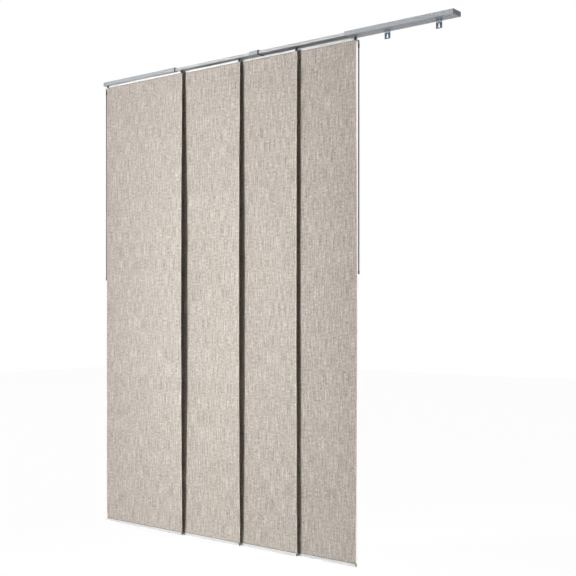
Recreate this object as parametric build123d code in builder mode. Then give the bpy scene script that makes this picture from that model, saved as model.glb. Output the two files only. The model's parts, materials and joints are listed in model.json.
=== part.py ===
"""Panel track blind: four sliding fabric panels on an extendable four-channel wall track.

Millimetres. X runs along the track to the right, Y towards the wall and Z up. The wall is Y = 0,
the middle of the track is X = 0 and the underside of the rails is Z = 0.
"""
import os

from build123d import *

os.makedirs("parts", exist_ok=True)

# Track, drawn out
track_length = 2196.0
outer_rail_length = 556.0
sleeve_length = 60.0
rail_overlap = 40.0
end_cap_thickness = 3.0
end_plug_length = 8.0
end_plug_height = 7.0

# Section of the outer rails and of the sleeve
channel_count = 4
channel_pitch = 14.0
rear_box_depth = 8.6
rail_wall = 1.4
lip_thickness = 1.4
top_plate_thickness = 1.1
bolt_chamber_height = 2.6
bolt_chamber_width = 18.0
bolt_slot_width = 6.6
chamber_web = 1.2
chamber_floor = 0.9
glider_slot_width = 4.0
runner_bead_width = 1.0
rail_corner_radius = 0.8

# Section of the inner tracks
inner_track_height = 14.0
inner_track_wall = 1.0

# Wall brackets
plate_thickness = 1.6
bracket_width = 30.0
bracket_bend_radius = 0.8
bracket_drop_below_rail = 30.0
bracket_arm_past_bolt = 9.0
bracket_standoff = 1.4
bracket_tab_width = 24.0
bracket_tab_grip = 10.0
keyhole_radius = 5.0
keyhole_slot_width = 6.0
keyhole_slot_length = 11.0
keyhole_above_end = 9.0
bracket_place_shares = (0.341, 0.814)

# Bracket bolts and nuts
bolt_radius = 2.5
bolt_head_length = 12.0
bolt_head_height = 1.8
bolt_length_above_arm = 6.0
nut_radius = 4.6
nut_height = 4.0

# Panels
panel_width = 582.0
panel_drop = 2425.0
panel_end_margin = 26.0
panel_place_shares = (0.0, 0.2469, 0.4704, 0.682)
fabric_thickness = 0.9

# Panel carriers
carrier_height = 31.0
carrier_thickness = 5.0
carrier_web = 2.0
carrier_top_rib = 8.0
carrier_bottom_rib = 3.0
tape_thickness = 1.5
tape_height = 17.0
tape_inset = 1.5

# Gliders
glider_head_length = 14.0
glider_head_height = 6.0
glider_head_chamfer = 1.6
glider_stem_length = 8.0
glider_foot_length = 12.0
glider_foot_height = 11.0
glider_foot_roof = 1.2
glider_foot_wall = 1.8
glider_foot_chamfer = 1.2
fabric_below_foot = 0.8

# Bottom bars
bar_height = 13.0
bar_thickness = 8.0
bar_wall = 1.2
bar_corner_radius = 1.4
bar_slot_width = 1.9
fabric_in_bar = 5.0
bar_cap_thickness = 2.0
bar_plug_length = 7.0
bar_plug_height = 4.0

# Wands
wand_reach = 10.5
wand_eye_radius = 4.0
wand_eye_below_fabric = 4.0
wand_arm_thickness = 2.0
wand_arm_height = 11.0
wand_arm_hold = 24.0
wand_neck_height = 6.4
wand_pin_radius = 1.5
shackle_cheek = 1.2
shackle_width = 5.0
shackle_bridge = 2.2
shackle_tongue = 2.0
shackle_tongue_drop = 3.4
shackle_tongue_radius = 2.6
ferrule_pin_radius = 1.2
ferrule_cheek = 1.2
ferrule_cheek_radius = 2.2
ferrule_shoulder = 3.6
ferrule_radius = 4.2
ferrule_length = 20.0
ferrule_socket_depth = 15.0
rod_radius = 3.2
rod_length = 1053.0
tip_radius = 4.0
tip_grip = 14.0
tip_end_wall = 2.4

# Clearances, and the length by which a cut overruns a face
slide_clearance = 0.3
lift_clearance = 0.4
head_clearance = 0.3
stem_clearance = 0.5
running_clearance = 0.2
tab_clearance = 0.6
fit_clearance = 0.1
pivot_clearance = 0.1
side_clearance = 0.3
plug_clearance = 0.2
cut_overrun = 1.0

# The rail's section, worked out from the inner track that it has to let through
channel_width = channel_pitch - rail_wall
channel_height = inner_track_height + 2 * lift_clearance
rail_depth = channel_count * channel_pitch + rail_wall + rear_box_depth + rail_wall
channel_bottom = lip_thickness
channel_top = channel_bottom + channel_height
chamber_bottom = channel_top + chamber_floor
chamber_top = chamber_bottom + bolt_chamber_height
rail_top = chamber_top + top_plate_thickness
rail_back = -(plate_thickness + bracket_standoff)
rail_middle = rail_back - rail_depth / 2
rear_box_middle = rail_back - rail_wall - rear_box_depth / 2
rear_channel = rear_box_middle - rear_box_depth / 2 - rail_wall - channel_width / 2
channel_places = [rear_channel - (channel_count - 1 - i) * channel_pitch for i in range(channel_count)]
inner_track_width = channel_width - 2 * slide_clearance
inner_track_top = channel_top - lift_clearance
inner_slot_width = glider_slot_width + 2 * runner_bead_width + 2 * slide_clearance
bead_height = lift_clearance + inner_track_wall
bead_offset = (glider_slot_width + runner_bead_width) / 2
running_height = channel_bottom + bead_height

# Places along the track
rail_end = track_length / 2 - end_cap_thickness
rail_mouth = rail_end - outer_rail_length
inner_track_length = 2 * (rail_mouth + rail_overlap)
bracket_places = [rail_mouth + share * outer_rail_length for share in bracket_place_shares]
panel_travel = track_length - 2 * panel_end_margin - panel_width
panel_starts = [panel_end_margin - track_length / 2 + share * panel_travel for share in panel_place_shares]

# Heights of the hanging pieces
foot_top = -plate_thickness - tab_clearance
carrier_top = foot_top - glider_foot_roof
carrier_bottom = carrier_top - carrier_height
foot_bottom = foot_top - glider_foot_height
fabric_top = foot_bottom - fabric_below_foot
tape_top = fabric_top - tape_inset
bar_bottom = fabric_top - panel_drop
bar_top = bar_bottom + bar_height
fabric_bottom = bar_top - bar_wall - fabric_in_bar
wand_eye_height = fabric_top - wand_eye_below_fabric
shackle_bridge_top = wand_eye_height - wand_eye_radius - side_clearance
shackle_bridge_bottom = shackle_bridge_top - shackle_bridge
wand_pin_height = shackle_bridge_bottom - shackle_tongue_drop
ferrule_top = wand_pin_height - ferrule_shoulder
rod_top = ferrule_top - ferrule_length + ferrule_socket_depth
rod_bottom = rod_top - rod_length

# Depths of the hanging pieces, measured from the middle of their channel
carrier_front = -carrier_thickness / 2
web_back = carrier_front + carrier_web
tape_front = carrier_front - tape_thickness
fabric_front = tape_front - fabric_thickness
fabric_middle = tape_front - fabric_thickness / 2
wand_middle = web_back + wand_arm_thickness / 2


def save(piece, name):
    """Label a finished piece and write it."""
    piece.part.label = name
    export_step(piece.part, f"parts/{name}.step")


def outer_rail(start, length):
    """Extruded rail: open channels before a closed box, under a bolt chamber with a slot along its top.

    Beads beside each slot stand as high as the floor of an inner track, so that a glider passes
    level from one to the other, and they fit between the lips of the inner track above them.
    """
    with BuildPart() as rail:
        with BuildSketch(Plane.YZ.offset(start)):
            with Locations((rail_middle, rail_top / 2)):
                RectangleRounded(rail_depth, rail_top, rail_corner_radius)
            with Locations([(y, (channel_top + channel_bottom) / 2) for y in channel_places]):
                Rectangle(channel_width, channel_height, mode=Mode.SUBTRACT)
            with Locations((rear_box_middle, (channel_top + channel_bottom) / 2)):
                Rectangle(rear_box_depth, channel_height, mode=Mode.SUBTRACT)
            bead_places = [y + side * bead_offset for y in channel_places for side in (-1, 1)]
            with Locations([(y, channel_bottom + bead_height / 2) for y in bead_places]):
                Rectangle(runner_bead_width, bead_height)
            with Locations([(y, channel_bottom - lip_thickness / 2) for y in channel_places]):
                Rectangle(glider_slot_width, lip_thickness + cut_overrun, mode=Mode.SUBTRACT)
            chamber_middle = (chamber_bottom + chamber_top) / 2
            with Locations((rail_middle, chamber_middle)):
                Rectangle(bolt_chamber_width, bolt_chamber_height, mode=Mode.SUBTRACT)
            side_width = rail_depth / 2 - rail_wall - chamber_web - bolt_chamber_width / 2
            side_offset = (bolt_chamber_width + side_width) / 2 + chamber_web
            with Locations([(rail_middle + side * side_offset, chamber_middle) for side in (-1, 1)]):
                Rectangle(side_width, bolt_chamber_height, mode=Mode.SUBTRACT)
            with Locations((rail_middle, (chamber_top + rail_top) / 2)):
                Rectangle(bolt_slot_width, top_plate_thickness + cut_overrun, mode=Mode.SUBTRACT)
        extrude(amount=length)
    return rail


def inner_track(channel):
    """Slim C-section that runs through the sleeve into both outer rails."""
    with BuildPart() as track:
        with BuildSketch(Plane.YZ.offset(-inner_track_length / 2)):
            middle = inner_track_top - inner_track_height / 2
            with Locations((channel, middle)):
                Rectangle(inner_track_width, inner_track_height)
                Rectangle(
                    inner_track_width - 2 * inner_track_wall,
                    inner_track_height - 2 * inner_track_wall,
                    mode=Mode.SUBTRACT,
                )
            with Locations((channel, inner_track_top - inner_track_height + inner_track_wall / 2)):
                Rectangle(inner_slot_width, inner_track_wall + cut_overrun, mode=Mode.SUBTRACT)
        extrude(amount=inner_track_length)
    return track


def end_cap(side):
    """Moulded cap with a plug in each channel of the rail."""
    face = Plane.YZ.offset(side * rail_end)
    with BuildPart() as cap:
        with BuildSketch(face):
            with Locations((rail_middle, rail_top / 2)):
                RectangleRounded(rail_depth, rail_top, rail_corner_radius)
        extrude(amount=side * end_cap_thickness)
        with BuildSketch(face):
            with Locations([(y, channel_top - plug_clearance) for y in channel_places]):
                Rectangle(
                    channel_width - 2 * plug_clearance,
                    end_plug_height,
                    align=(Align.CENTER, Align.MAX),
                )
        extrude(amount=-side * end_plug_length)
    return cap


def wall_bracket(place):
    """Folded plate: an arm over the rail, a tab under its rear box and a keyhole below it."""
    plate_end = -bracket_drop_below_rail
    arm_top = rail_top + plate_thickness
    arm_end = rail_middle - bracket_arm_past_bolt
    with BuildPart() as bracket:
        with BuildSketch(Plane.YZ.offset(place - bracket_width / 2)) as section:
            with BuildLine():
                Polyline(
                    (0, plate_end),
                    (0, arm_top),
                    (arm_end, arm_top),
                    (arm_end, rail_top),
                    (-plate_thickness, rail_top),
                    (-plate_thickness, plate_end),
                    close=True,
                )
            make_face()
            bend = section.vertices().group_by(Axis.X)[-1].sort_by(Axis.Y)[-1]
            fillet(bend, bracket_bend_radius + plate_thickness)
            inside = section.vertices().sort_by_distance((-plate_thickness, rail_top))[0]
            fillet(inside, bracket_bend_radius)
        extrude(amount=bracket_width)
        with BuildSketch(Plane.YZ.offset(place - bracket_tab_width / 2)):
            with Locations((-plate_thickness, 0)):
                Rectangle(
                    bracket_standoff + bracket_tab_grip,
                    plate_thickness,
                    align=(Align.MAX, Align.MAX),
                )
        extrude(amount=bracket_tab_width)
        with BuildSketch(Plane.XZ.offset(-cut_overrun)):
            hole_height = plate_end + keyhole_above_end
            with Locations((place, hole_height)):
                Circle(keyhole_radius)
                Rectangle(keyhole_slot_width, keyhole_slot_length, align=(Align.CENTER, Align.MIN))
            with Locations((place, hole_height + keyhole_slot_length)):
                Circle(keyhole_slot_width / 2)
        extrude(amount=plate_thickness + 2 * cut_overrun, mode=Mode.SUBTRACT)
        with BuildSketch(Plane.XY.offset(rail_top - cut_overrun)):
            with Locations((place, rail_middle)):
                Circle(bolt_radius + fit_clearance)
        extrude(amount=plate_thickness + 2 * cut_overrun, mode=Mode.SUBTRACT)
    return bracket


def bracket_fixings(places):
    """A bolt with its head in the rail's chamber, and a nut on the bracket's arm, at each place."""
    with BuildPart() as fixings:
        with BuildSketch(Plane.XY.offset(chamber_top)):
            with Locations([(x, rail_middle) for x in places]):
                Rectangle(bolt_head_length, bolt_head_length)
        extrude(amount=-bolt_head_height)
        with BuildSketch(Plane.XY.offset(chamber_top)):
            with Locations([(x, rail_middle) for x in places]):
                Circle(bolt_radius)
        extrude(amount=top_plate_thickness + plate_thickness + bolt_length_above_arm)
        with BuildSketch(Plane.XY.offset(rail_top + plate_thickness)):
            with Locations([(x, rail_middle) for x in places]):
                RegularPolygon(nut_radius, 6)
                Circle(bolt_radius + fit_clearance, mode=Mode.SUBTRACT)
        extrude(amount=nut_height)
    return fixings


def carrier(start, channel):
    """White panel carrier: a web with a flat front and a rib along each edge of its back."""
    with BuildPart() as profile:
        with BuildSketch(Plane.YZ.offset(start)):
            with Locations((channel + carrier_front, carrier_top)):
                Rectangle(carrier_web, carrier_height, align=(Align.MIN, Align.MAX))
                Rectangle(carrier_thickness, carrier_top_rib, align=(Align.MIN, Align.MAX))
            with Locations((channel + carrier_front, carrier_bottom)):
                Rectangle(carrier_thickness, carrier_bottom_rib, align=(Align.MIN, Align.MIN))
        extrude(amount=panel_width)
    return profile


def glider(end, inward, channel):
    """Sliding head in the track, a thin stem through the slot and a foot astride the carrier."""
    middle = end + inward * glider_foot_length / 2
    inner_track_inside = inner_track_width - 2 * inner_track_wall
    head_bottom = running_height + running_clearance
    with BuildPart() as slider:
        with BuildSketch(Plane.XY.offset(head_bottom)):
            with Locations((middle, channel)):
                Rectangle(glider_head_length, inner_track_inside - 2 * head_clearance)
        extrude(amount=glider_head_height)
        chamfer(slider.edges().filter_by(Axis.Z), glider_head_chamfer)
        with BuildSketch(Plane.XY.offset(foot_top)):
            with Locations((middle, channel)):
                Rectangle(glider_stem_length, glider_slot_width - 2 * stem_clearance)
        extrude(amount=head_bottom - foot_top)
        slot_width = carrier_thickness + 2 * fit_clearance
        foot_width = slot_width + 2 * glider_foot_wall
        with BuildSketch(Plane.YZ.offset(middle - glider_foot_length / 2)) as foot:
            with Locations((channel, foot_top)):
                Rectangle(foot_width, glider_foot_height, align=(Align.CENTER, Align.MAX))
            chamfer(foot.vertices().group_by(Axis.Y)[-1], glider_foot_chamfer)
            with Locations((channel, carrier_top)):
                Rectangle(
                    slot_width,
                    glider_foot_height - glider_foot_roof + cut_overrun,
                    align=(Align.CENTER, Align.MAX),
                    mode=Mode.SUBTRACT,
                )
        extrude(amount=glider_foot_length)
    return slider


def flat_strip(start, front, thickness, top, bottom):
    """Flat sheet or tape as wide as the panel."""
    with BuildPart() as strip:
        with BuildSketch(Plane.YZ.offset(start)):
            with Locations((front, top)):
                Rectangle(thickness, top - bottom, align=(Align.MIN, Align.MAX))
        extrude(amount=panel_width)
    return strip


def bottom_bar(start, middle):
    """Hollow weight bar, rounded below, with a slot along its top that grips the fabric."""
    with BuildPart() as bar:
        with BuildSketch(Plane.YZ.offset(start + bar_cap_thickness)) as section:
            with Locations((middle, bar_bottom + bar_height / 2)):
                Rectangle(bar_thickness, bar_height)
            fillet(section.vertices().group_by(Axis.Y)[0], bar_corner_radius)
            with Locations((middle, bar_bottom + bar_height / 2)):
                Rectangle(bar_thickness - 2 * bar_wall, bar_height - 2 * bar_wall, mode=Mode.SUBTRACT)
            with Locations((middle, bar_top - bar_wall / 2)):
                Rectangle(bar_slot_width, bar_wall + cut_overrun, mode=Mode.SUBTRACT)
        extrude(amount=panel_width - 2 * bar_cap_thickness)
    return bar


def bar_cap(end, inward, middle):
    """End cap of a bottom bar, with a plug below the fabric."""
    with BuildPart() as cap:
        with BuildSketch(Plane.YZ.offset(end)) as section:
            with Locations((middle, bar_bottom + bar_height / 2)):
                Rectangle(bar_thickness, bar_height)
            fillet(section.vertices().group_by(Axis.Y)[0], bar_corner_radius)
        extrude(amount=inward * bar_cap_thickness)
        with BuildSketch(Plane.YZ.offset(end + inward * bar_cap_thickness)):
            with Locations((middle, bar_bottom + bar_wall + plug_clearance)):
                Rectangle(
                    bar_thickness - 2 * bar_wall - 2 * plug_clearance,
                    bar_plug_height,
                    align=(Align.CENTER, Align.MIN),
                )
        extrude(amount=inward * bar_plug_length)
        with BuildSketch(Plane.YZ.offset(end + inward * bar_cap_thickness)):
            with Locations((middle, bar_top + cut_overrun)):
                Rectangle(
                    bar_slot_width,
                    bar_wall + fabric_in_bar + fit_clearance + cut_overrun,
                    align=(Align.CENTER, Align.MAX),
                )
        extrude(amount=-inward * (bar_cap_thickness + cut_overrun), mode=Mode.SUBTRACT)
    return cap


def wand_bracket(end, outward, channel):
    """Arm behind the end of a carrier, tapering to an eye for the wand."""
    eye = end + outward * wand_reach
    with BuildPart() as arm:
        with BuildSketch(Plane.XZ.offset(-(channel + web_back))):
            with BuildLine():
                Polyline(
                    (end - outward * wand_arm_hold, wand_eye_height + wand_arm_height / 2),
                    (end, wand_eye_height + wand_neck_height / 2),
                    (eye, wand_eye_height + wand_neck_height / 2),
                    (eye, wand_eye_height - wand_neck_height / 2),
                    (end, wand_eye_height - wand_neck_height / 2),
                    (end - outward * wand_arm_hold, wand_eye_height - wand_arm_height / 2),
                    close=True,
                )
            make_face()
            with Locations((eye, wand_eye_height)):
                Circle(wand_eye_radius)
                Circle(wand_pin_radius + pivot_clearance, mode=Mode.SUBTRACT)
        extrude(amount=-wand_arm_thickness)
    return arm


def wand_shackle(end, outward, channel):
    """Two cheeks and a cross pin on the wand bracket's eye, over a tongue for the wand."""
    eye = end + outward * wand_reach
    inside = wand_arm_thickness / 2 + side_clearance
    front = channel + wand_middle - inside - shackle_cheek
    with BuildPart() as shackle:
        with BuildSketch(Plane.XZ.offset(-front)):
            with Locations((eye, wand_eye_height)):
                Circle(shackle_width / 2)
                Rectangle(
                    shackle_width,
                    wand_eye_height - shackle_bridge_bottom,
                    align=(Align.CENTER, Align.MAX),
                )
        extrude(amount=-2 * (inside + shackle_cheek))
        with BuildSketch(Plane.XZ.offset(-front - shackle_cheek)):
            with Locations((eye, shackle_bridge_top)):
                Rectangle(
                    shackle_width + 2 * cut_overrun,
                    wand_eye_radius + shackle_width + side_clearance,
                    align=(Align.CENTER, Align.MIN),
                )
        extrude(amount=-2 * inside, mode=Mode.SUBTRACT)
        with BuildSketch(Plane.XZ.offset(-front)):
            with Locations((eye, wand_eye_height)):
                Circle(wand_pin_radius)
        extrude(amount=-2 * (inside + shackle_cheek))
        with BuildSketch(Plane.YZ.offset(eye - shackle_tongue / 2)):
            with Locations((channel + wand_middle, wand_pin_height)):
                Circle(shackle_tongue_radius)
                Rectangle(
                    2 * shackle_tongue_radius,
                    shackle_bridge_bottom - wand_pin_height,
                    align=(Align.CENTER, Align.MIN),
                )
                Circle(ferrule_pin_radius + pivot_clearance, mode=Mode.SUBTRACT)
        extrude(amount=shackle_tongue)
    return shackle


def wand_ferrule(end, outward, channel):
    """Forked ferrule: two cheeks and a pin about the shackle's tongue, over a socket for the rod."""
    eye = end + outward * wand_reach
    depth = channel + wand_middle
    inside = shackle_tongue / 2 + side_clearance
    with BuildPart() as ferrule:
        with BuildSketch(Plane.XY.offset(ferrule_top)):
            with Locations((eye, depth)):
                Circle(ferrule_radius)
        extrude(amount=-ferrule_length)
        with BuildSketch(Plane.XY.offset(ferrule_top - ferrule_length)):
            with Locations((eye, depth)):
                Circle(rod_radius + fit_clearance)
        extrude(amount=ferrule_socket_depth, mode=Mode.SUBTRACT)
        for cheek in (eye - inside - ferrule_cheek, eye + inside):
            with BuildSketch(Plane.YZ.offset(cheek)):
                with Locations((depth, wand_pin_height)):
                    Circle(ferrule_cheek_radius)
                    Rectangle(2 * ferrule_cheek_radius, ferrule_shoulder, align=(Align.CENTER, Align.MAX))
            extrude(amount=ferrule_cheek)
        with BuildSketch(Plane.YZ.offset(eye - inside)):
            with Locations((depth, wand_pin_height)):
                Circle(ferrule_pin_radius)
        extrude(amount=2 * inside)
    return ferrule


def wand_rod(end, outward, channel):
    """Straight round rod of a wand."""
    with BuildPart() as rod:
        with BuildSketch(Plane.XY.offset(rod_top)):
            with Locations((end + outward * wand_reach, channel + wand_middle)):
                Circle(rod_radius)
        extrude(amount=-rod_length)
    return rod


def wand_tip(end, outward, channel):
    """Cup on the lower end of a wand."""
    with BuildPart() as tip:
        with BuildSketch(Plane.XY.offset(rod_bottom - tip_end_wall)):
            with Locations((end + outward * wand_reach, channel + wand_middle)):
                Circle(tip_radius)
        extrude(amount=tip_end_wall + tip_grip)
        with BuildSketch(Plane.XY.offset(rod_bottom)):
            with Locations((end + outward * wand_reach, channel + wand_middle)):
                Circle(rod_radius + fit_clearance)
        extrude(amount=tip_grip, mode=Mode.SUBTRACT)
    return tip


# The track
save(outer_rail(-rail_end, outer_rail_length), "left_rail")
save(outer_rail(rail_mouth, outer_rail_length), "right_rail")
save(outer_rail(-sleeve_length / 2, sleeve_length), "centre_sleeve")
for number, channel in enumerate(channel_places, start=1):
    save(inner_track(channel), f"inner_track_{number}")
save(end_cap(-1), "left_end_cap")
save(end_cap(1), "right_end_cap")

# The wall brackets and their bolts and nuts
save(wall_bracket(0), "centre_bracket")
save(bracket_fixings([0]), "centre_bracket_fixings")
for side, side_name in ((-1, "left"), (1, "right")):
    for place, place_name in zip(bracket_places, ("inner", "outer")):
        save(wall_bracket(side * place), f"{side_name}_{place_name}_bracket")
    save(bracket_fixings([side * place for place in bracket_places]), f"{side_name}_bracket_fixings")

# The panels, from the front channel on the left to the rear channel on the right
for number, (start, channel) in enumerate(zip(panel_starts, channel_places), start=1):
    end = start + panel_width
    save(carrier(start, channel), f"carrier_{number}")
    save(glider(start, 1, channel), f"glider_{number}_left")
    save(glider(end, -1, channel), f"glider_{number}_right")
    tape = flat_strip(start, channel + tape_front, tape_thickness, tape_top, tape_top - tape_height)
    save(tape, f"hook_tape_{number}")
    fabric = flat_strip(start, channel + fabric_front, fabric_thickness, fabric_top, fabric_bottom)
    save(fabric, f"fabric_{number}")
    save(bottom_bar(start, channel + fabric_middle), f"bottom_bar_{number}")
    save(bar_cap(start, 1, channel + fabric_middle), f"bar_cap_{number}_left")
    save(bar_cap(end, -1, channel + fabric_middle), f"bar_cap_{number}_right")

# The two wands, at the outer ends of the first and the last panel
wand_places = (
    ("left", panel_starts[0], -1, channel_places[0]),
    ("right", panel_starts[-1] + panel_width, 1, channel_places[-1]),
)
for side_name, end, outward, channel in wand_places:
    save(wand_bracket(end, outward, channel), f"{side_name}_wand_bracket")
    save(wand_shackle(end, outward, channel), f"{side_name}_wand_shackle")
    save(wand_ferrule(end, outward, channel), f"{side_name}_wand_ferrule")
    save(wand_rod(end, outward, channel), f"{side_name}_wand_rod")
    save(wand_tip(end, outward, channel), f"{side_name}_wand_tip")
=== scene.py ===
"""Looks of the panel track blind: hung linen-look panels, anodised rails, wands, light and camera.

Metres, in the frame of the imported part: X along the track, Y into the wall and Z up.
"""

import json
import math

import bpy
import numpy as np
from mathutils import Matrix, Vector


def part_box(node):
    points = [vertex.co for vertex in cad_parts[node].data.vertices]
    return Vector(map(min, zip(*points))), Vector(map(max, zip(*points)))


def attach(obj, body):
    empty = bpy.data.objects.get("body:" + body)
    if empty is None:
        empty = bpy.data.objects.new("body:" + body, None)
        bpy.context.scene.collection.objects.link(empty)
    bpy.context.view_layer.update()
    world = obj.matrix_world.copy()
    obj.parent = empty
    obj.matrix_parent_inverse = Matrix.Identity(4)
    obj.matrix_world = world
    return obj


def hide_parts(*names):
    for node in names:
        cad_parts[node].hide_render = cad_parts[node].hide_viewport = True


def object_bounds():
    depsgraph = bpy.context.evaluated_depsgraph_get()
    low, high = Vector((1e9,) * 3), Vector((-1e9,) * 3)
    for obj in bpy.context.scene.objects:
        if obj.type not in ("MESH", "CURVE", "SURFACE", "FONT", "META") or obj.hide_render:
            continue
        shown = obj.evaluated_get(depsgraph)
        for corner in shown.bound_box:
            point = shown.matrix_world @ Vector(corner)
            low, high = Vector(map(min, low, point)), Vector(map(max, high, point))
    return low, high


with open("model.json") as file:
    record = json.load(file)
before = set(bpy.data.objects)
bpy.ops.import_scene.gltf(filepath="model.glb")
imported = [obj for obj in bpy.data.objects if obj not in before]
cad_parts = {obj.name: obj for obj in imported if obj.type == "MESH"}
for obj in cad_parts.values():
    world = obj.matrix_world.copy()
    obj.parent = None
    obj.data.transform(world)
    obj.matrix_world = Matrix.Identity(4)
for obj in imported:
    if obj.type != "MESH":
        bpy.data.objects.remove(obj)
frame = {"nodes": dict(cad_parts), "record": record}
cad_low, cad_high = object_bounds()
cad_nodes = frame["nodes"]

# Hung shape of each panel half way down: by how much its middle lies behind the line between its side
# edges, and by how much its right edge stands forward of its left one
HANGS = {1: (0.008, 0.007), 2: (0.006, 0.005), 3: (0.003, 0.004), 4: (-0.0092, -0.011)}
FLAT_AT_TOP = 0.034
FLAT_AT_BOTTOM = 0.016
EDGE_CURL_WIDTH = 0.010
EDGE_CURL = 0.0020
CURL_ONSET = 8.0
RIPPLE = 0.0004
RIPPLE_LENGTHS = (0.31, 0.83)
RIPPLE_STEPS = (1.7, 2.3)
EDGE_COLUMNS = 4
MIDDLE_COLUMNS = 44
ROWS = 130
SHARP_ANGLE = math.radians(40)

# Linen-look weave, measured along the cloth; the unevenness has a length across and a length up
CLOTH_MAP = "cloth"
CLOTH_SHIFT = 1.37
THREAD = 0.0011
WARP_YARN_LENGTHS = (0.0009, 0.05)
WEFT_YARN_LENGTHS = (0.035, 0.0009)
WARP_SLUB_LENGTHS = (0.0044, 0.080)
WEFT_SLUB_LENGTHS = (0.034, 0.0070)
FLECK_LENGTHS = (0.0050, 0.0120)
MOTTLE_LENGTHS = (0.09, 0.2)

# Weights of these in the cloth's tone, the range of that tone, and its colours
YARN_WEIGHT = 0.55
WARP_SLUB_WEIGHT = 1.7
WEFT_SLUB_WEIGHT = 0.75
FLECK_WEIGHT = 1.0
MOTTLE_WEIGHT = 0.2
# The yarns' rounding in the tone is painted shade: lighter crowns and darker sides to each yarn
ROUNDING_SHADE_WEIGHT = 0.35
TONE_RANGE = (1.32, 3.06)
DARK_YARN = (0.25, 0.205, 0.165)
LIGHT_YARN = (0.90, 0.84, 0.78)
CLOTH_ROUGHNESS = 0.95
SLUB_RELIEF = 0.8
WEAVE_RELIEF = 0.00018

# Painted highlight along the cloth's side edges, and painted shade lines above the bottom bar and below the
# carrier
EDGE_HIGHLIGHT_COLOUR = (0.88, 0.82, 0.76)
EDGE_HIGHLIGHT_WIDTH = 0.006
EDGE_HIGHLIGHT_SHARE = 0.8
BAR_GRIP = 0.0062
SHADE_BAND_HEIGHT = 0.006
BAR_SHADE_TONE = 0.55
CARRIER_SHADE_TONE = 0.65

# Camera, as the photograph was taken; the picture is square
PICTURE_SIDE = 576
FOCAL_PIXELS = 960.0
HORIZON_ROW = 307.7
CAMERA_TURN = math.radians(37.72)
CAMERA_PLACE = (3.0284, -3.7097, -1.2460)
SENSOR = 36.0

# Nearly all values of a noise lie between these
NOISE_RANGE = (0.3, 0.7)

# Drawn aluminium: lines and clouds of tone, and a band of painted shade at each mouth that the inner tracks
# leave to the right
LINE_LENGTHS = (0.5, 0.0006, 0.0006)
LINE_WEIGHT = 0.7
LINE_RELIEF = 0.00003
CLOUD_LENGTHS = (0.16, 0.02, 0.02)
METAL_SHADES = (0.92, 1.08)
METAL_UNEVENNESS = 0.07
MOUTH_SHADE_WIDTH = 0.0075
MOUTH_SHADE_TONE = (0.035, 0.037, 0.040)

# Moulded plastic
GRAIN_LENGTHS = (0.0005, 0.0005, 0.0005)
GRAIN_RELIEF = 0.00002
FLOW_LENGTHS = (0.05, 0.012, 0.05)
PLASTIC_SHADES = (0.9, 1.08)
PLASTIC_UNEVENNESS = 0.06

# Hook tape, with painted shade down between the hooks
HOOKS_PER_METRE = 900.0
HOOK_REACH = 0.7
HOOK_RELIEF = 0.0006
HOOK_TIP = (0.90, 0.90, 0.89)
HOOK_SHADE = (0.62, 0.62, 0.61)
TAPE_ROUGHNESS = 0.8

# Zinc plate: painted shade and reflection darken the plates, and painted light brightens the tabs, which
# reach a little below the rail's underside
CRYSTALS_PER_METRE = 260.0
SCRATCH_LENGTHS = (0.02, 0.0008, 0.0008)
SCRATCH_WEIGHT = 0.6
SCRATCH_RELIEF = 0.00002
ZINC_RANGE = (0.2, 0.8)
PLATE_SHADE_TONES = ((0.10, 0.14, 0.18), (0.26, 0.33, 0.40))
TAB_LIGHT_TONES = ((0.76, 0.78, 0.80), (0.92, 0.94, 0.95))
TAB_DEPTH = 0.003
TAB_BLEND = 0.001
PLATE_METALLIC = 0.85
TAB_METALLIC = 0.7
ZINC_ROUGHNESS = (0.28, 0.44)

# Studio
LAMP_AIM = (-0.1, 0.0, -1.2)
LAMP_HEIGHT = math.radians(7)
KEY_TURN = math.radians(-42)
KEY_DISTANCE = 8.0
KEY_SIZE = (0.8, 4.0)
KEY_SPREAD = math.radians(28)
KEY_POWER = 31.2
FILL_TURN = math.radians(-66)
FILL_DISTANCE = 14.0
FILL_SIZE = (5.6, 6.0)
FILL_SPREAD = math.radians(180)
FILL_POWER = 440.0
ROOM_LIGHT = (0.037, 0.027, 0.015, 1.0)
BACKDROP_LIGHT = (0.7, 0.7, 0.7, 1.0)
BACKDROP_RISE = (-0.2, 0.6)
FLOOR_DROP = 0.25
FLOOR_SIDE = 30.0
FLOOR_GLOW = 0.93
FLOOR_SHADOW = 0.16
FLOOR_PAINT = 0.8
WHITE = (1.0, 1.0, 1.0, 1.0)


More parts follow.
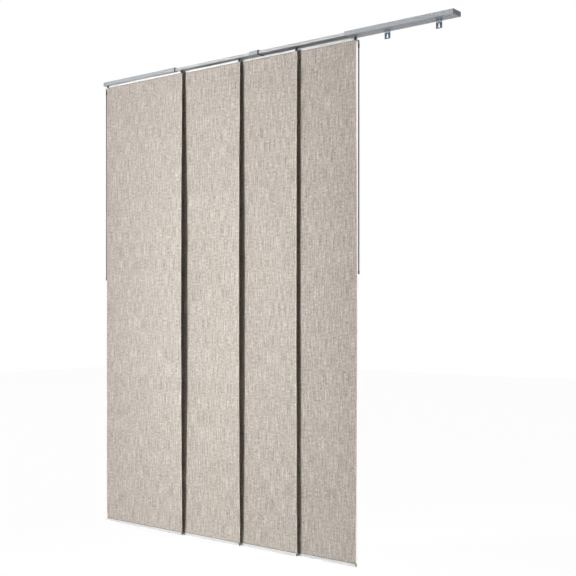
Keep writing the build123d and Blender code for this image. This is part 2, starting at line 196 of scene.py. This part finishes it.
class Looks:
    """One node material around a Principled shader."""

    def __init__(self, name):
        self.material = bpy.data.materials.new(name)
        self.material.use_nodes = True
        self.tree = self.material.node_tree
        self.shader = self.tree.nodes["Principled BSDF"]

    def node(self, kind, **settings):
        made = self.tree.nodes.new(kind)
        for name, value in settings.items():
            setattr(made, name, value)
        return made

    def feed(self, socket, source):
        """Link a socket, or set its value."""
        if isinstance(source, bpy.types.NodeSocket):
            self.tree.links.new(source, socket)
        else:
            socket.default_value = source

    def set(self, **values):
        for name, value in values.items():
            self.feed(self.shader.inputs[name.replace("_", " ")], value)

    def math(self, operation, first, second=0.0, third=0.0):
        made = self.node("ShaderNodeMath", operation=operation)
        for socket, source in zip(made.inputs, (first, second, third)):
            self.feed(socket, source)
        return made.outputs[0]

    def object_place(self):
        return self.node("ShaderNodeTexCoord").outputs["Object"]

    def split(self, vector):
        made = self.node("ShaderNodeSeparateXYZ")
        self.feed(made.inputs[0], vector)
        return made.outputs

    def join(self, x, y, z=0.0):
        made = self.node("ShaderNodeCombineXYZ")
        for socket, source in zip(made.inputs, (x, y, z)):
            self.feed(socket, source)
        return made.outputs[0]

    def noise(self, vector, lengths, detail=2.0):
        """Noise whose features have these lengths along X and Y, or along X, Y and Z."""
        scaled = self.node("ShaderNodeVectorMath", operation="DIVIDE")
        self.feed(scaled.inputs[0], vector)
        scaled.inputs[1].default_value = (*lengths, 1.0)[:3]
        made = self.node("ShaderNodeTexNoise")
        self.feed(made.inputs["Vector"], scaled.outputs[0])
        made.inputs["Scale"].default_value = 1.0
        made.inputs["Detail"].default_value = detail
        return made.outputs["Fac"]

    def cells(self, vector, scale):
        """Voronoi cells, so many to the metre."""
        made = self.node("ShaderNodeTexVoronoi", feature="F1")
        self.feed(made.inputs["Vector"], vector)
        made.inputs["Scale"].default_value = scale
        return made.outputs

    def spread(self, source, low, high, to_low=0.0, to_high=1.0):
        """Map a range of values onto another."""
        made = self.node("ShaderNodeMapRange")
        self.feed(made.inputs["Value"], source)
        for name, value in (("From Min", low), ("From Max", high), ("To Min", to_low), ("To Max", to_high)):
            made.inputs[name].default_value = value
        return made.outputs[0]

    def mix(self, share, first, second, blend="MIX"):
        """Mix of two colours."""
        made = self.node("ShaderNodeMix", data_type="RGBA", blend_type=blend)
        self.feed(made.inputs["Factor"], share)
        for name, source in (("A", first), ("B", second)):
            socket = next(s for s in made.inputs if s.name == name and s.type == "RGBA")
            self.feed(socket, source if isinstance(source, bpy.types.NodeSocket) else (*source, 1.0))
        return next(s for s in made.outputs if s.type == "RGBA")

    def bump(self, height, depth):
        made = self.node("ShaderNodeBump")
        made.inputs["Strength"].default_value = 1.0
        made.inputs["Distance"].default_value = depth
        self.feed(made.inputs["Height"], height)
        self.feed(self.shader.inputs["Normal"], made.outputs[0])


def linen(width, drop):
    """Plain weave of uneven yarns: light and dark slubs along both threads, and a soft relief.

    The side edges carry a painted highlight. Painted shade darkens the cloth below the carrier at its top,
    and above the bottom bar's slot.
    """
    looks = Looks("linen_look_weave")
    cloth = looks.node("ShaderNodeUVMap", uv_map=CLOTH_MAP).outputs[0]
    across, up, _ = looks.split(cloth)
    warp_line = looks.math("SNAP", across, THREAD)
    weft_line = looks.math("SNAP", up, THREAD)
    along_warp = looks.join(warp_line, up)
    along_weft = looks.join(across, weft_line)
    warp_yarn = looks.noise(along_warp, WARP_YARN_LENGTHS)
    weft_yarn = looks.noise(along_weft, WEFT_YARN_LENGTHS)
    warp_slub = looks.noise(along_warp, WARP_SLUB_LENGTHS, detail=1.0)
    weft_slub = looks.noise(along_weft, WEFT_SLUB_LENGTHS, detail=1.0)
    fleck = looks.noise(looks.join(warp_line, weft_line), FLECK_LENGTHS, detail=0.0)
    mottle = looks.noise(cloth, MOTTLE_LENGTHS, detail=1.0)

    # The yarn on top changes at each crossing
    across_count = looks.math("DIVIDE", across, THREAD)
    up_count = looks.math("DIVIDE", up, THREAD)
    crossing = looks.math("ADD", looks.math("FLOOR", across_count), looks.math("FLOOR", up_count))
    warp_on_top = looks.math("FLOORED_MODULO", crossing, 2.0)
    warp_round = looks.math("PINGPONG", across_count, 0.5)
    weft_round = looks.math("PINGPONG", up_count, 0.5)

    def on_top(warp, weft):
        weft_share = looks.math("MULTIPLY", weft, looks.math("SUBTRACT", 1.0, warp_on_top))
        return looks.math("MULTIPLY_ADD", warp, warp_on_top, weft_share)

    yarn = on_top(warp_yarn, weft_yarn)
    # Painted shade of the yarns' rounding: in the colour each yarn is lighter at its crown and darker at its
    # sides
    rounding = on_top(warp_round, weft_round)
    tone = looks.math("MULTIPLY", yarn, YARN_WEIGHT)
    weights = (
        (warp_slub, WARP_SLUB_WEIGHT),
        (weft_slub, WEFT_SLUB_WEIGHT),
        (fleck, FLECK_WEIGHT),
        (mottle, MOTTLE_WEIGHT),
        (rounding, ROUNDING_SHADE_WEIGHT),
    )
    for part, weight in weights:
        tone = looks.math("MULTIPLY_ADD", part, weight, tone)
    colour = looks.mix(looks.spread(tone, *TONE_RANGE), DARK_YARN, LIGHT_YARN)

    # Painted highlight: the cloth is paler within a few millimetres of both side edges
    from_left = looks.math("FLOORED_MODULO", across, CLOTH_SHIFT)
    to_edge = looks.math("MINIMUM", from_left, looks.math("SUBTRACT", width, from_left))
    colour = looks.mix(looks.spread(to_edge, 0.0, EDGE_HIGHLIGHT_WIDTH, EDGE_HIGHLIGHT_SHARE, 0.0), colour, EDGE_HIGHLIGHT_COLOUR)
    # Painted shade: the cloth darkens in a band above the bottom bar's slot and in a band below the carrier
    bar_top = BAR_GRIP - drop
    shade_above_bar = looks.spread(up, bar_top, bar_top + SHADE_BAND_HEIGHT, BAR_SHADE_TONE, 1.0)
    shade_below_carrier = looks.spread(up, -SHADE_BAND_HEIGHT, 0.0, 1.0, CARRIER_SHADE_TONE)
    for shade in (shade_above_bar, shade_below_carrier):
        colour = looks.mix(1.0, colour, shade, "MULTIPLY")
    relief = looks.math("MULTIPLY_ADD", looks.math("ADD", warp_slub, weft_slub), SLUB_RELIEF, rounding)
    looks.set(Base_Color=colour, Roughness=CLOTH_ROUGHNESS, Specular_IOR_Level=0.0)
    looks.bump(relief, WEAVE_RELIEF)
    return looks.material


def shades(colour, dark, light):
    """A darker and a lighter shade of a colour."""
    return [channel * dark for channel in colour], [min(1.0, channel * light) for channel in colour]


def drawn_metal(name, colour, roughness, metallic, mouths=()):
    """Anodised extrusion with fine lines along its length, a little unevenness of tone and painted shade at
    its mouths.
    """
    looks = Looks(name)
    place = looks.object_place()
    lines = looks.noise(place, LINE_LENGTHS, detail=3.0)
    clouds = looks.math("MULTIPLY", looks.noise(place, CLOUD_LENGTHS), 1 - LINE_WEIGHT)
    tone = looks.math("MULTIPLY_ADD", lines, LINE_WEIGHT, clouds)
    base = looks.mix(looks.spread(tone, *NOISE_RANGE), *shades(colour, *METAL_SHADES))
    # Painted shade: a dark band on the rail just left of each mouth
    for mouth in mouths:
        inside = looks.math("SUBTRACT", mouth, looks.split(place)[0])
        base = looks.mix(looks.math("COMPARE", inside, MOUTH_SHADE_WIDTH / 2, MOUTH_SHADE_WIDTH / 2), base, MOUTH_SHADE_TONE)
    uneven = looks.spread(tone, *NOISE_RANGE, roughness - METAL_UNEVENNESS, roughness + METAL_UNEVENNESS)
    looks.set(Base_Color=base, Metallic=metallic, Roughness=uneven)
    looks.bump(lines, LINE_RELIEF)
    return looks.material


def moulded_plastic(name, colour, roughness):
    """Moulded plastic with a fine grain and a faint flow of tone."""
    looks = Looks(name)
    place = looks.object_place()
    grain = looks.noise(place, GRAIN_LENGTHS)
    flow = looks.noise(place, FLOW_LENGTHS)
    base = looks.mix(looks.spread(flow, *NOISE_RANGE), *shades(colour, *PLASTIC_SHADES))
    uneven = looks.spread(grain, *NOISE_RANGE, roughness - PLASTIC_UNEVENNESS, roughness + PLASTIC_UNEVENNESS)
    looks.set(Base_Color=base, Roughness=uneven)
    looks.bump(grain, GRAIN_RELIEF)
    return looks.material


def hook_tape():
    """Tape of fine standing hooks, with painted shade down between them."""
    looks = Looks("hook_bristle_tape")
    hooks = looks.cells(looks.object_place(), HOOKS_PER_METRE)
    # Painted shade: darker down between the hooks, lighter at their tips
    shade = looks.spread(hooks["Distance"], 0.0, HOOK_REACH)
    looks.set(Base_Color=looks.mix(shade, HOOK_TIP, HOOK_SHADE), Roughness=TAPE_ROUGHNESS)
    looks.bump(looks.math("SUBTRACT", 1.0, shade), HOOK_RELIEF)
    return looks.material


def zinc_steel():
    """Zinc-plated sheet with faint crystals: painted shade and reflection make the plates dark bluish,
    painted light the tabs bright where the rail is gripped.
    """
    looks = Looks("zinc_plated_steel")
    place = looks.object_place()
    crystals = looks.split(looks.cells(place, CRYSTALS_PER_METRE)["Color"])[0]
    scratches = looks.noise(place, SCRATCH_LENGTHS, detail=3.0)
    crystals = looks.math("MULTIPLY", crystals, 1 - SCRATCH_WEIGHT)
    tone = looks.spread(looks.math("MULTIPLY_ADD", scratches, SCRATCH_WEIGHT, crystals), *ZINC_RANGE)
    # Painted light on the tabs and painted shade on the plates, split by height
    on_tab = looks.spread(looks.split(place)[2], -TAB_DEPTH - TAB_BLEND, -TAB_DEPTH)
    looks.set(
        Base_Color=looks.mix(on_tab, looks.mix(tone, *PLATE_SHADE_TONES), looks.mix(tone, *TAB_LIGHT_TONES)),
        Metallic=looks.spread(on_tab, 0.0, 1.0, PLATE_METALLIC, TAB_METALLIC),
        Roughness=looks.spread(scratches, *NOISE_RANGE, *ZINC_ROUGHNESS),
    )
    looks.bump(scratches, SCRATCH_RELIEF)
    return looks.material


def dress_cad_nodes():
    """Give each carried-over node the material of its slot."""
    mouths = [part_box(node)[1].x for node in ("left_rail", "centre_sleeve")]
    materials = {
        "hook_tape": hook_tape(),
        "white_plastic": moulded_plastic("white_carrier_plastic", (0.95, 0.95, 0.95), 0.42),
        "black_plastic": moulded_plastic("black_glider_plastic", (0.010, 0.010, 0.011), 0.45),
        "grey_plastic": moulded_plastic("grey_cap_plastic", (0.24, 0.255, 0.27), 0.45),
        "wand_plastic": moulded_plastic("grey_wand_plastic", (0.10, 0.094, 0.088), 0.40),
        "dark_metal": moulded_plastic("dark_coated_metal", (0.020, 0.018, 0.016), 0.40),
        "bar_aluminium": drawn_metal("pale_bar_aluminium", (0.84, 0.84, 0.83), 0.42, 0.25),
        "rail_aluminium": drawn_metal("silver_rail_aluminium", (0.44, 0.467, 0.495), 0.40, 0.7, mouths),
        "inner_aluminium": drawn_metal("silver_inner_aluminium", (0.535, 0.55, 0.565), 0.38, 0.7),
        "zinc_steel": zinc_steel(),
    }
    for row in frame["record"]["subparts"]:
        if row["material_slot"] in materials:
            slots = cad_nodes[row["node"]].data.materials
            slots.clear()
            slots.append(materials[row["material_slot"]])


def sheet_columns(width):
    """Places across a sheet, as shares of its width, closer together at the cut edges."""
    curl = EDGE_CURL_WIDTH / width
    edge = np.linspace(0, curl, EDGE_COLUMNS, endpoint=False)
    return np.concatenate([edge, np.linspace(curl, 1 - curl, MIDDLE_COLUMNS), 1 - edge[::-1]])


def hung_offset(number, across, from_top, width, drop):
    """How far forward of its flat plane the cloth of a panel stands."""
    free = np.clip((from_top - FLAT_AT_TOP) / (drop - FLAT_AT_TOP - FLAT_AT_BOTTOM), 0, 1)
    swell = np.sin(math.pi * free)
    bow, turn = HANGS[number]
    bowed = 4 * bow * across * (across - 1) + turn * across
    to_edge = np.minimum(across, 1 - across) * width
    curl = EDGE_CURL * np.clip(1 - to_edge / EDGE_CURL_WIDTH, 0, 1) ** 2
    short, long = RIPPLE_LENGTHS
    step_across, step_down = RIPPLE_STEPS
    ripple = np.sin(2 * math.pi * across * width / short + step_across * number)
    ripple = ripple * np.sin(2 * math.pi * from_top / long + step_down * number)
    held = np.clip(CURL_ONSET * swell, 0, 1)
    return bowed * swell + curl * held + RIPPLE * ripple * swell


def closed_sheet(name, front, back, across, from_top, shift):
    """Closed mesh between two grids of points, with its cloth coordinates in metres."""
    rows, columns = across.shape
    count = rows * columns
    index = np.arange(count).reshape(rows, columns)
    corners = (index[:-1, :-1], index[:-1, 1:], index[1:, 1:], index[1:, :-1])
    back_faces = np.stack(corners, -1).reshape(-1, 4) + count
    front_faces = np.stack(corners[::-1], -1).reshape(-1, 4)
    rim = np.concatenate([index[0], index[1:, -1], index[-1, -2::-1], index[-2:0:-1, 0]])
    after = np.roll(rim, -1)
    rim_faces = np.stack([rim, after, after + count, rim + count], -1)
    mesh = bpy.data.meshes.new(name)
    points = np.concatenate([front.reshape(-1, 3), back.reshape(-1, 3)])
    faces = np.concatenate([front_faces, back_faces, rim_faces])
    mesh.from_pydata(points.tolist(), [], faces.tolist())
    mesh.shade_smooth()
    mesh.set_sharp_from_angle(angle=SHARP_ANGLE)
    layer = mesh.uv_layers.new(name=CLOTH_MAP)
    cloth = np.tile(np.stack([across.ravel() + shift, -from_top.ravel()], -1), (2, 1))
    loops = np.zeros(len(mesh.loops), int)
    mesh.loops.foreach_get("vertex_index", loops)
    layer.data.foreach_set("uv", cloth[loops].astype(np.float32).ravel())
    made = bpy.data.objects.new(name, mesh)
    bpy.context.scene.collection.objects.link(made)
    return made


def hung_panel(number, material):
    """One fabric panel: flat where its tape and its bar hold it, and gently bowed between them."""
    low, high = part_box(f"fabric_{number}")
    width, thickness, drop = high - low
    share = sheet_columns(width)
    fall = np.linspace(0, drop, ROWS)
    across, from_top = np.meshgrid(share, fall)
    forward = hung_offset(number, across, from_top, width, drop)
    x = low.x + across * width
    y = (low.y + high.y) / 2 - forward
    z = high.z - from_top
    front = np.stack([x, y - thickness / 2, z], -1)
    back = np.stack([x, y + thickness / 2, z], -1)
    panel = closed_sheet(f"linen_panel_{number}", front, back, across * width, from_top, CLOTH_SHIFT * number)
    panel.data.materials.append(material)
    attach(panel, f"panel_{number}")
    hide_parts(f"fabric_{number}")


def add_soft_box(name, turn, distance, size, spread, power):
    """Soft box in the left of the room, aimed at the middle panels and left out of reflections."""
    data = bpy.data.lights.new(name, "AREA")
    data.shape = "RECTANGLE"
    data.size, data.size_y = size
    data.spread = spread
    data.energy = power
    lamp = bpy.data.objects.new(name, data)
    level = distance * math.cos(LAMP_HEIGHT)
    rise = distance * math.sin(LAMP_HEIGHT)
    lamp.location = Vector(LAMP_AIM) + Vector((level * math.sin(turn), -level * math.cos(turn), rise))
    lamp.rotation_euler = (math.pi / 2 - LAMP_HEIGHT, 0, turn)
    lamp.visible_camera = False
    lamp.visible_glossy = False
    bpy.context.scene.collection.objects.link(lamp)


def seen_directly(tree):
    """1 for a ray from the camera or off a glossy or clear surface, 0 for diffuse light."""
    path = tree.nodes.new("ShaderNodeLightPath")
    seen = path.outputs["Is Camera Ray"]
    for name in ("Is Glossy Ray", "Is Transmission Ray"):
        larger = tree.nodes.new("ShaderNodeMath")
        larger.operation = "MAXIMUM"
        tree.links.new(seen, larger.inputs[0])
        tree.links.new(path.outputs[name], larger.inputs[1])
        seen = larger.outputs[0]
    return seen


def add_world():
    """White backdrop that lights the back of the blind, and a dim room in front of it."""
    world = bpy.data.worlds.new("studio")
    bpy.context.scene.world = world
    world.use_nodes = True
    tree = world.node_tree
    tree.nodes.clear()
    place = tree.nodes.new("ShaderNodeTexCoord")
    split = tree.nodes.new("ShaderNodeSeparateXYZ")
    tree.links.new(place.outputs["Generated"], split.inputs[0])
    behind = tree.nodes.new("ShaderNodeMapRange")
    tree.links.new(split.outputs["Y"], behind.inputs["Value"])
    behind.inputs["From Min"].default_value, behind.inputs["From Max"].default_value = BACKDROP_RISE
    level = tree.nodes.new("ShaderNodeMix")
    level.data_type = "RGBA"
    tree.links.new(behind.outputs[0], level.inputs["Factor"])
    first, second = [socket for socket in level.inputs if socket.type == "RGBA"]
    first.default_value = ROOM_LIGHT
    second.default_value = BACKDROP_LIGHT
    room = tree.nodes.new("ShaderNodeBackground")
    tree.links.new(next(socket for socket in level.outputs if socket.type == "RGBA"), room.inputs["Color"])
    backdrop = tree.nodes.new("ShaderNodeBackground")
    backdrop.inputs["Color"].default_value = WHITE
    mix = tree.nodes.new("ShaderNodeMixShader")
    tree.links.new(seen_directly(tree), mix.inputs[0])
    tree.links.new(room.outputs[0], mix.inputs[1])
    tree.links.new(backdrop.outputs[0], mix.inputs[2])
    output = tree.nodes.new("ShaderNodeOutputWorld")
    tree.links.new(mix.outputs[0], output.inputs[0])


def floor_material():
    """Pale floor: white as seen, apart from the shadow on it."""
    material = bpy.data.materials.new("pale_floor")
    material.use_nodes = True
    tree = material.node_tree
    tree.nodes.clear()
    glow = tree.nodes.new("ShaderNodeEmission")
    glow.inputs["Strength"].default_value = FLOOR_GLOW
    shadow = tree.nodes.new("ShaderNodeBsdfDiffuse")
    shadow.inputs["Color"].default_value = (FLOOR_SHADOW, FLOOR_SHADOW, FLOOR_SHADOW, 1.0)
    seen = tree.nodes.new("ShaderNodeAddShader")
    tree.links.new(glow.outputs[0], seen.inputs[0])
    tree.links.new(shadow.outputs[0], seen.inputs[1])
    paint = tree.nodes.new("ShaderNodeBsdfDiffuse")
    paint.inputs["Color"].default_value = (FLOOR_PAINT, FLOOR_PAINT, FLOOR_PAINT, 1.0)
    mix = tree.nodes.new("ShaderNodeMixShader")
    tree.links.new(seen_directly(tree), mix.inputs[0])
    tree.links.new(paint.outputs[0], mix.inputs[1])
    tree.links.new(seen.outputs[0], mix.inputs[2])
    output = tree.nodes.new("ShaderNodeOutputMaterial")
    tree.links.new(mix.outputs[0], output.inputs[0])
    return material


def add_floor():
    """Floor below the hanging panels."""
    half = FLOOR_SIDE / 2
    height = cad_low.z - FLOOR_DROP
    corners = [(-half, -half, height), (half, -half, height), (half, half, height), (-half, half, height)]
    mesh = bpy.data.meshes.new("floor")
    mesh.from_pydata(corners, [], [(0, 1, 2, 3)])
    mesh.materials.append(floor_material())
    floor = bpy.data.objects.new("floor", mesh)
    bpy.context.scene.collection.objects.link(floor)


def add_camera():
    """Level camera to the right of the blind, shifted to the photograph's framing."""
    data = bpy.data.cameras.new("camera")
    data.sensor_width = SENSOR
    data.lens = SENSOR * FOCAL_PIXELS / PICTURE_SIDE
    data.shift_y = (HORIZON_ROW - PICTURE_SIDE / 2) / PICTURE_SIDE
    camera = bpy.data.objects.new("camera", data)
    camera.location = CAMERA_PLACE
    camera.rotation_euler = (math.pi / 2, 0, CAMERA_TURN)
    bpy.context.scene.collection.objects.link(camera)
    bpy.context.scene.camera = camera


bpy.context.scene.view_settings.view_transform = "Standard"
dress_cad_nodes()
first_low, first_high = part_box("fabric_1")
panel_material = linen(first_high.x - first_low.x, first_high.z - first_low.z)
for panel_number in HANGS:
    hung_panel(panel_number, panel_material)
add_soft_box("key", KEY_TURN, KEY_DISTANCE, KEY_SIZE, KEY_SPREAD, KEY_POWER)
add_soft_box("fill", FILL_TURN, FILL_DISTANCE, FILL_SIZE, FILL_SPREAD, FILL_POWER)
add_world()
add_floor()
add_camera()
